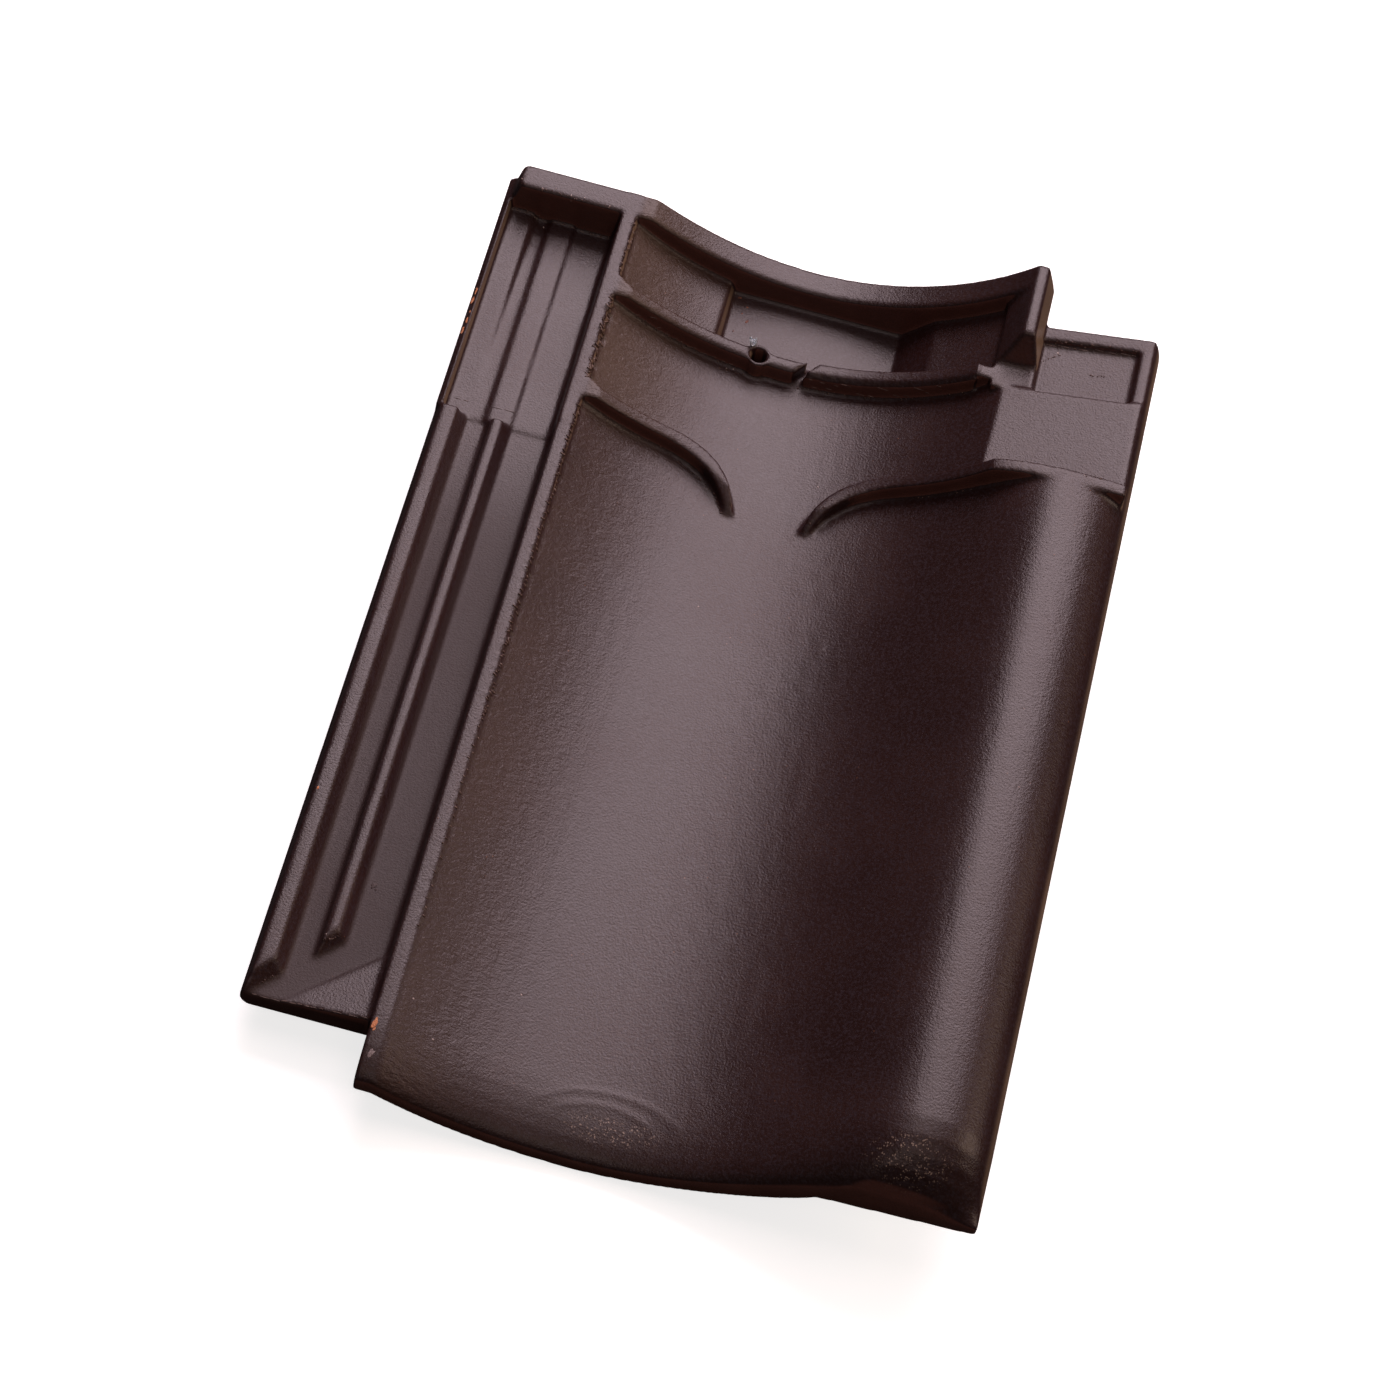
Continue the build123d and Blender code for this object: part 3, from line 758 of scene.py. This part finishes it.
@dataclass(frozen=True)
class PressMarks:
    """Combed slip, crumbs and seams that the press and the drying left, and pale specks. The
    specks' pale colour and part of the seams' are painted highlights.
    """

    seed: int = 11

    # Short ridges off the strip's edge: start, end, step and length of each run
    comb_runs: Rows = (
        (150, 292, 1.9, 2.3), (303.5, 343, 1.35, 3.4), (357, 381, 2.2, 2.3), (60, 150, 4.0, 1.4),
    )
    comb_edge: float = 51.0
    comb_shift: Span = (-0.3, 1.0)
    comb_length: Span = (0.6, 1.35)
    comb_width: Span = (0.45, 0.8)
    comb_height: Span = (0.3, 0.55)
    comb_turn: float = -8
    comb_turn_spread: float = 10
    comb_step: Span = (0.45, 1.6)
    comb_slip: GritFinish = GritFinish(
        "comb_slip", (0.07, 0.036, 0.028), (0.20, 0.13, 0.105), 0.36)

    # Crumbs at the feet and edges of the ribs: both ends of each line, and how many
    crumb_lines: tuple[tuple[float, float, float, float, int], ...] = (
        (3.0, 383.2, 43.0, 383.2, 30), (5.0, 384.6, 45.0, 384.6, 18),
        (57.0, 344.0, 104.0, 344.0, 34), (96.0, 341.5, 106.0, 342.5, 10),
        (124.0, 344.0, 188.0, 344.0, 30), (57.0, 294.2, 84.0, 294.1, 16),
        (84.0, 294.1, 100.0, 288.6, 14), (100.0, 288.6, 108.0, 282.5, 14),
        (108.0, 282.5, 112.6, 274.0, 12), (21.5, 49.0, 26.0, 52.0, 10),
        (4.0, 26.0, 9.0, 32.0, 8), (212.0, 370.0, 246.0, 370.2, 22),
        (213.0, 361.0, 224.0, 369.0, 12), (228.0, 356.6, 240.0, 358.4, 9),
        (143.0, 275.0, 150.0, 288.0, 9), (176.0, 294.0, 200.0, 293.6, 9),
        (235.0, 298.5, 243.0, 299.8, 7),
    )
    crumb_stray: float = 0.25
    crumb_size: Span = (0.35, 1.1)
    crumb_width: Span = (0.5, 0.9)
    crumb_height: Span = (0.25, 0.4)
    crumb_slip: GritFinish = GritFinish(
        "crumb_slip", (0.035, 0.012, 0.009), (0.13, 0.075, 0.06), 0.4)

    # Smaller crumbs all over the tile
    dust_count: int = 240
    dust_across: Span = (3, 253)
    dust_along: Span = (28, 392)
    dust_size: Span = (0.2, 0.5)
    dust_width: float = 0.8

    # Thin lines where one press face meets another, partly burrs and partly a painted highlight on
    # the fillets at the feet of the walls: both ends of each
    seam_lines: Rows = (
        (4.0, 24.1, 43.0, 24.1), (4.0, 382.6, 42.0, 382.6), (60.0, 344.4, 100.0, 344.4),
        (130.0, 344.6, 180.0, 344.6), (5.0, 288.5, 11.0, 288.5), (20.0, 288.0, 26.0, 288.0),
        (213.0, 369.0, 245.0, 369.2),
    )
    seam_stray: float = 0.08
    seam_length: Span = (1.5, 5.0)
    seam_width: Span = (0.25, 0.4)
    seam_height: float = 0.14
    seam_gaps: Axes = (0.0, 0.3, 1.8)
    seam_burr_and_highlight: GritFinish = GritFinish(
        "seam_burr_and_highlight", (0.06, 0.03, 0.025), (0.22, 0.15, 0.13), 0.4, 2.5)

    # Pale specks on edges: small raised specks whose pale colour is a painted glint
    edge_glint_spots: tuple[Span, ...] = (
        (4.5, 391.5), (5.2, 387.0), (18.6, 386.4), (30.2, 385.7), (13.8, 384.9), (25.0, 385.2),
        (40.2, 385.0), (17.2, 380.0), (22.0, 51.0), (24.2, 50.5), (56.7, 33.9), (66.6, 23.1),
        (90.5, 52.3), (236.0, 299.1), (242.2, 299.7), (112.9, 231.7), (101.5, 343.3),
        (99.0, 342.6), (143.9, 298.4), (218.0, 366.0),
    )
    speck_size: Span = (0.5, 0.9)
    edge_glint_width: float = 0.7
    edge_glint_finish: GritFinish = GritFinish(
        "painted_edge_glint", (0.38, 0.28, 0.26), (0.72, 0.62, 0.6), 0.5)

    # Height of dust and specks, as a share of their length
    low_height: float = 0.25

    def comb(self, skin: TopSkin) -> bpy.types.Object:
        """Builds the short ridges that run off the strip's edge down into the pan.

        Args:
            skin: The surface that they lie on.

        Returns:
            The piece.
        """
        draw = random.Random(self.seed)
        grit = Grit("combed_slip", skin)
        for start, end, step, length in self.comb_runs:
            y = start
            while y < end:
                run = length * draw.uniform(*self.comb_length)
                grit.add(Grain(self.comb_edge + draw.uniform(*self.comb_shift), y, run,
                               draw.uniform(*self.comb_width), draw.uniform(*self.comb_height),
                               draw.gauss(self.comb_turn, self.comb_turn_spread)))
                y += step * draw.uniform(*self.comb_step)
        return grit.piece(self.comb_slip)

    def crumbs(self, skin: TopSkin) -> bpy.types.Object:
        """Builds the crumbs along the feet and edges of the ribs, and some all over.

        Args:
            skin: The surface that they lie on.

        Returns:
            The piece.
        """
        draw = random.Random(self.seed + 1)
        grit = Grit("slip_crumbs", skin)
        for x0, y0, x1, y1, count in self.crumb_lines:
            for _ in range(count):
                share = draw.random()
                size = draw.uniform(*self.crumb_size)
                grit.add(Grain(x0 + (x1 - x0) * share,
                               y0 + (y1 - y0) * share + draw.gauss(0, self.crumb_stray),
                               size, size * draw.uniform(*self.crumb_width),
                               size * draw.uniform(*self.crumb_height), draw.uniform(0, HALF_TURN)))
        for _ in range(self.dust_count):
            size = draw.uniform(*self.dust_size)
            grit.add(Grain(draw.uniform(*self.dust_across), draw.uniform(*self.dust_along), size,
                           size * self.dust_width, size * self.low_height,
                           draw.uniform(0, HALF_TURN)))
        return grit.piece(self.crumb_slip)

    def seams(self, skin: TopSkin) -> bpy.types.Object:
        """Builds the thin broken pale lines where one press face meets another: low ridges whose
        pale colour is partly burrs and partly a painted highlight on the fillets at the feet of the
        walls.

        Args:
            skin: The surface that they lie on.

        Returns:
            The piece.
        """
        draw = random.Random(self.seed + 3)
        grit = Grit("seams_and_painted_highlights", skin)
        for x0, y0, x1, y1 in self.seam_lines:
            turn = math.degrees(math.atan2(y1 - y0, x1 - x0))
            x = x0
            while x < x1:
                run = draw.uniform(*self.seam_length)
                y = y0 + (y1 - y0) * (x - x0) / (x1 - x0)
                grit.add(Grain(x + run / 2, y + draw.gauss(0, self.seam_stray), run,
                               draw.uniform(*self.seam_width), self.seam_height, turn, 2))
                x += run + draw.choice(self.seam_gaps)
        return grit.piece(self.seam_burr_and_highlight)

    def specks(self, skin: TopSkin) -> bpy.types.Object:
        """Builds the pale specks on edges: small raised specks whose pale colour is a painted
        glint.

        Args:
            skin: The surface that they lie on.

        Returns:
            The piece.
        """
        draw = random.Random(self.seed + 2)
        grit = Grit("edge_glint_specks", skin)
        for x, y in self.edge_glint_spots:
            size = draw.uniform(*self.speck_size)
            grit.add(Grain(x, y, size, size * self.edge_glint_width, size * self.low_height,
                           draw.uniform(0, HALF_TURN), 2))
        return grit.piece(self.edge_glint_finish)

    def make(self, skin: TopSkin) -> None:
        """Builds all the marks.

        Args:
            skin: The surface that they lie on.
        """
        self.comb(skin)
        self.crumbs(skin)
        self.seams(skin)
        self.specks(skin)


@dataclass(frozen=True)
class Flakes:
    """Flakes of one colour: middle, length, width and turn of each."""

    name: str
    finish: GritFinish
    spots: Rows
    height: float = 0.12
    rounds: int = 3

    def make(self, skin: TopSkin, seed: int) -> bpy.types.Object:
        """Builds the flakes.

        Args:
            skin: The surface that they lie on.
            seed: Where their unevenness comes from.

        Returns:
            The piece.
        """
        draw = random.Random(seed)
        grit = Grit(self.name, skin)
        for x, y, length, width, turn in self.spots:
            grit.add_ragged(Grain(x, y, length, width, self.height, turn, self.rounds), draw)
        return grit.piece(self.finish)


@dataclass(frozen=True)
class Chips:
    """Places where the slip has come off and the clay shows, stains and spots in the slip, and a
    painted highlight on the strip's front end.
    """

    seed: int = 5
    kinds: tuple[Flakes, ...] = (
        Flakes(
            "clay_chips",
            GritFinish("chipped_clay", (0.40, 0.12, 0.045), (0.72, 0.33, 0.17), 0.8),
            ((0.9, 331.8, 3.4, 1.1, 84), (1.1, 336.6, 3.6, 0.9, 88), (0.9, 317.0, 3.6, 1.0, 86),
             (1.2, 321.8, 3.0, 0.8, 92), (1.4, 326.0, 1.2, 0.6, 70), (46.9, 19.4, 4.4, 1.5, 82),
             (47.4, 17.6, 1.4, 0.7, 60), (3.9, 105.4, 1.5, 0.7, 80))),
        Flakes(
            "clay_stains",
            GritFinish("stained_slip", (0.10, 0.035, 0.025), (0.30, 0.11, 0.06), 0.6),
            ((96.4, 381.2, 1.6, 0.9, 20), (101.4, 370.7, 1.8, 1.0, 70),
             (100.2, 377.6, 1.0, 0.7, 0), (98.8, 374.0, 0.8, 0.5, 40),
             (97.4, 364.6, 0.7, 0.5, 0), (125.4, 350.4, 2.6, 0.8, 50))),
        Flakes(
            "dark_spot",
            GritFinish("burnt_slip", (0.020, 0.006, 0.005), (0.045, 0.018, 0.015), 0.5),
            ((32.0, 76.9, 2.3, 1.9, 60), (33.0, 75.6, 1.1, 0.9, 0))),
        # Painted highlight on the strip's rounded front end: a small pale mauve-grey patch
        Flakes(
            "strip_end_highlight",
            GritFinish("painted_strip_highlight", (0.10, 0.07, 0.07), (0.30, 0.24, 0.24), 0.45, 0.6),
            ((48.6, 9.2, 3.2, 1.8, 70),)),
    )

    def make(self, skin: TopSkin) -> None:
        """Builds the flakes of every kind.

        Args:
            skin: The surface that they lie on.
        """
        for kind in self.kinds:
            kind.make(skin, self.seed)


@dataclass(frozen=True)
class HoleLightBits:
    """Ragged pale bits on the nail hole's rim, whose pale bluish colour is painted light: the
    bright floor seen through the hole.
    """

    seed: int = 3
    middle: Axes = (106.2, 351.9, -16.4)
    spread: float = 1.3
    bits: int = 24
    tilt: float = 0.7
    bit_width: Span = (0.25, 0.6)
    bit_depth: Span = (0.2, 0.45)
    bit_height: Span = (0.6, 1.3)
    finish: GritFinish = GritFinish("painted_hole_light", (0.45, 0.55, 0.62), (0.90, 0.95, 1.0), 0.3)

    def make(self) -> bpy.types.Object:
        """Builds the bits, which stand on the hole's wall.

        Returns:
            The piece.
        """
        draw = random.Random(self.seed)
        press = PressFrame()
        shards = bmesh.new()
        for _ in range(self.bits):
            place = [value + draw.uniform(-self.spread, self.spread) for value in self.middle]
            turn = Matrix.Rotation(draw.uniform(0, math.tau), 4, "Z")
            tilt = Matrix.Rotation(draw.uniform(-self.tilt, self.tilt), 4, "X")
            spans = (self.bit_width, self.bit_depth, self.bit_height)
            sizes = Matrix.Diagonal((*(draw.uniform(*span) * MM for span in spans), 1))
            seat = Matrix.Translation(press.place(*place)) @ turn @ tilt @ sizes
            bmesh.ops.create_icosphere(shards, subdivisions=1, radius=1.0, matrix=seat)
        mesh = meshed("hole_light_bits", shards)
        mesh.materials.append(self.finish.make())
        plug = added("hole_light_bits", mesh)
        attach(plug, BODY)
        LOG.info("%s is set in its hole", plug.name)
        return plug


@dataclass(frozen=True)
class Camera:
    """The camera, at the photograph's viewing angle."""

    azimuth: float = 0.4454
    elevation: float = 51.6766
    roll: float = 14.6120
    distance: float = 1.50685
    target: Axes = (0.0, -0.003648, 0.040892)
    lens_mm: float = 109.365
    sensor_mm: float = 36.0
    shift: Span = (-0.018139, -0.025583)
    clip: Span = (0.05, 100.0)

    def make(self) -> bpy.types.Object:
        """Adds the camera and makes it the scene's own.

        Returns:
            The camera object.
        """
        azimuth, elevation = math.radians(self.azimuth), math.radians(self.elevation)
        roll = math.radians(self.roll)
        back = Vector((math.sin(azimuth) * math.cos(elevation),
                       -math.cos(azimuth) * math.cos(elevation), math.sin(elevation)))
        level = Vector((math.cos(azimuth), math.sin(azimuth), 0))
        above = back.cross(level)
        right = math.cos(roll) * level + math.sin(roll) * above
        up = math.cos(roll) * above - math.sin(roll) * level
        turn = Matrix((right, up, back)).transposed().to_4x4()
        data = bpy.data.cameras.new("camera")
        data.sensor_width = self.sensor_mm
        data.lens = self.lens_mm
        data.shift_x, data.shift_y = self.shift
        data.clip_start, data.clip_end = self.clip
        camera = added("camera", data)
        camera.matrix_world = Matrix.Translation(Vector(self.target) + back * self.distance) @ turn
        bpy.context.scene.camera = camera
        return camera


@dataclass(frozen=True)
class Softbox:
    """One soft rectangular lamp that points at the tile."""

    name: str
    azimuth: float
    elevation: float
    distance: float
    width: float
    height: float
    radiance: float
    colour: Colour

    def make(self, aim: Vector) -> bpy.types.Object:
        """Adds the lamp.

        Args:
            aim: The point that it looks at.

        Returns:
            The lamp object.
        """
        azimuth, elevation = math.radians(self.azimuth), math.radians(self.elevation)
        away = Vector((math.sin(azimuth) * math.cos(elevation),
                       math.cos(azimuth) * math.cos(elevation), math.sin(elevation)))
        data = bpy.data.lights.new(self.name, "AREA")
        data.shape = "RECTANGLE"
        data.size, data.size_y = self.width, self.height
        data.energy = self.radiance * math.pi * self.width * self.height
        data.color = self.colour
        lamp = added(self.name, data)
        turn = away.to_track_quat("Z", "Y").to_matrix().to_4x4()
        lamp.matrix_world = Matrix.Translation(aim + away * self.distance) @ turn
        return lamp


@dataclass(frozen=True)
class Studio:
    """Pale floor, soft lamps and the surroundings."""

    floor_size: float = 30.0
    floor_colour: Colour = (0.8, 0.8, 0.8)
    floor_roughness: float = 0.9
    floor_glow: float = 0.75
    floor_bounce: Colour = (0.04, 0.04, 0.04)
    surround_glow: float = 0.04
    lamps: tuple[Softbox, ...] = (
        Softbox("key_lamp", 4, 45, 2.2, 1.95, 1.5, 5.1, (1.0, 0.80, 0.86)),
        Softbox("top_lamp", 10, 78, 2.1, 1.4, 1.6, 1.4, (1.0, 0.80, 0.80)),
        Softbox("right_lamp", 84, 30, 2.4, 1.4, 1.2, 2.6, (1.0, 0.74, 0.58)),
        Softbox("front_lamp", 176, 50, 2.4, 1.6, 1.0, 0.95, (1.0, 0.76, 0.68)),
    )

    def make_floor(self) -> bpy.types.Object:
        """Adds the floor, which looks pale and sends little light back up to the tile.

        Returns:
            The floor object.
        """
        grid = bmesh.new()
        bmesh.ops.create_grid(grid, x_segments=1, y_segments=1, size=self.floor_size / 2)
        mesh = meshed("floor", grid)
        floor = added("floor", mesh)
        paint = Painter("pale_floor")
        paint.finish(Base_Color=self.floor_colour, Roughness=self.floor_roughness,
                     Emission_Color=WHITE, Emission_Strength=self.floor_glow)
        dim = paint.node("ShaderNodeBsdfDiffuse", None, {"Color": self.floor_bounce})
        paint.show(paint.shader.outputs[0], dim.outputs[0], "Material Output")
        mesh.materials.append(paint.material)
        return floor

    def make_surround(self) -> None:
        """Sets a dim surround that looks white to the camera."""
        world = bpy.data.worlds.new("surround")
        world.use_nodes = True
        nodes = Nodes(world.node_tree)
        dim = nodes.tree.nodes["Background"]
        nodes.feed(dim.inputs["Color"], WHITE)
        nodes.feed(dim.inputs["Strength"], self.surround_glow)
        white = nodes.node("ShaderNodeBackground", None, {"Color": WHITE})
        nodes.show(white.outputs[0], dim.outputs[0], "World Output")
        bpy.context.scene.world = world

    def make(self, aim: Vector) -> None:
        """Builds the whole studio.

        Args:
            aim: The point that the lamps look at.
        """
        self.make_floor()
        self.make_surround()
        for lamp in self.lamps:
            lamp.make(aim)
            LOG.info("%s is lit", lamp.name)
        settings = bpy.context.scene.view_settings
        settings.view_transform = "Standard"
        settings.look = "None"


@dataclass(frozen=True)
class PressedTile:
    """The frame's solid, with its edges softened as the press and the slip leave them."""

    press: PressFrame = field(default_factory=PressFrame)
    finish: SlipFinish = field(default_factory=SlipFinish)
    weld: float = 2e-6
    grid_mm: float = 0.8
    smoothing: float = 0.5
    smoothings: int = 8
    triangles: int = 194_000
    least_up: float = 0.15

    # Crescents pressed into the foot: middle, half-sizes and rise of each
    crescents: Rows = ((128.0, 9.0, 19.0, 11.5, 0.16), (129.0, 9.0, 27.0, 16.5, 0.16))
    crescent_width: float = 1.2
    crescent_end: float = 32.0

    # Combed fringe on the strip's right edge: its two sides, and start, end and rise of each run
    fringe: Span = (48.8, 54.0)
    fringe_bottom: float = -7.0
    fringe_runs: Rows = ((55, 150, 0.15), (150, 292, 0.3), (303, 343, 0.7), (356, 381, 0.35))
    fringe_height: float = 0.9
    fringe_level: float = 0.25
    tooth_across: float = 7.0
    tooth_along: float = 1.7
    tooth_seed: float = 3.0
    fine_tooth: float = 2.5
    fine_tooth_share: float = 0.5

    def merged(self) -> bpy.types.Object:
        """Copies the frame's solid, closed and turned so that it lies level.

        Returns:
            The copy.
        """
        shell = bmesh.new()
        shell.from_mesh(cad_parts[TILE_NODE].data)
        bmesh.ops.remove_doubles(shell, verts=shell.verts, dist=self.weld)
        mesh = meshed("pressed_tile", shell)
        mesh.transform(Matrix.Rotation(-self.press.lean, 4, "X"))
        return added("pressed_tile", mesh)

    def settle(self, tile: bpy.types.Object) -> None:
        """Applies the tile's modifiers to its mesh.

        Args:
            tile: The tile.
        """
        seen = tile.evaluated_get(bpy.context.evaluated_depsgraph_get())
        mesh = bpy.data.meshes.new_from_object(seen)
        tile.modifiers.clear()
        tile.data = mesh

    def soften(self, tile: bpy.types.Object) -> None:
        """Divides the level tile into an even fine grid, rounds its edges and lays it back.

        Args:
            tile: The tile.
        """
        grid = tile.modifiers.new("grid", "REMESH")
        grid.mode = "VOXEL"
        grid.voxel_size = self.grid_mm * MM
        smooth = tile.modifiers.new("smooth", "SMOOTH")
        smooth.factor, smooth.iterations = self.smoothing, self.smoothings
        self.settle(tile)
        tile.data.transform(Matrix.Rotation(self.press.lean, 4, "X"))

    def crescent(self, place: Vector) -> float:
        """Finds how far the crescents at the foot stand out.

        Args:
            place: A place on the tile, in mm.

        Returns:
            Their height, in mm.
        """
        height = 0.0
        for x, y, wide, deep, rise in self.crescents:
            across, along = (place.x - x) / wide, (place.y - y) / deep
            off = (math.hypot(across, along) - 1) * deep / self.crescent_width
            height += rise * math.exp(-(off ** 2)) * max(0.0, along)
        return height

    def comb(self, place: Vector) -> float:
        """Finds how far the strip's combed edge stands out.

        Args:
            place: A place on the tile, in mm.

        Returns:
            Its height, in mm.
        """
        left, right = self.fringe
        share = (place.x - left) / (right - left)
        rises = [rise for low, high, rise in self.fringe_runs if low < place.y < high]
        if not 0 < share < 1 or not rises:
            return 0.0
        broad = Vector((place.x / self.tooth_across, place.y / self.tooth_along, self.tooth_seed))
        teeth = noise.noise(broad) + self.fine_tooth_share * noise.noise(place / self.fine_tooth)
        rise = self.fringe_height * max(rises) * math.sin(math.pi * share)
        return rise * (teeth - self.fringe_level)

    def work(self, tile: bpy.types.Object) -> None:
        """Combs the strip's edge, and raises the crescents at the foot.

        Args:
            tile: The tile.
        """
        ups = [vert.normal.copy() for vert in tile.data.vertices]
        for vert, up in zip(tile.data.vertices, ups):
            if up.z > self.least_up:
                place = self.press.back(vert.co)
                if place.y < self.crescent_end:
                    vert.co += up * self.crescent(place) * MM
                elif place.x < self.fringe[1] and place.z > self.fringe_bottom:
                    vert.co += up * self.comb(place) * MM

    def thin_out(self, tile: bpy.types.Object) -> None:
        """Takes out the faces that flat places don't need.

        Args:
            tile: The tile, whose faces all have four corners.
        """
        fewer = tile.modifiers.new("fewer", "DECIMATE")
        fewer.ratio = self.triangles / (2 * len(tile.data.polygons))
        self.settle(tile)

    def make(self) -> bpy.types.Object:
        """Builds the tile.

        Returns:
            The piece.
        """
        tile = self.merged()
        self.soften(tile)
        self.work(tile)
        self.thin_out(tile)
        tile.data.shade_smooth()
        tile.data.materials.clear()
        tile.data.materials.append(self.finish.make())
        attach(tile, BODY)
        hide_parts(TILE_NODE)
        LOG.info("%s has %d faces", tile.name, len(tile.data.polygons))
        return tile


def main() -> None:
    """Builds the scene."""
    logging.basicConfig(level=logging.INFO)
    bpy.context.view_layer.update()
    low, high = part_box(TILE_NODE)
    Camera().make()
    skin = TopSkin(PressedTile().make())
    PressMarks().make(skin)
    Chips().make(skin)
    HoleLightBits().make()
    Studio().make((low + high) / 2)


if __name__ == "__main__":
    main()
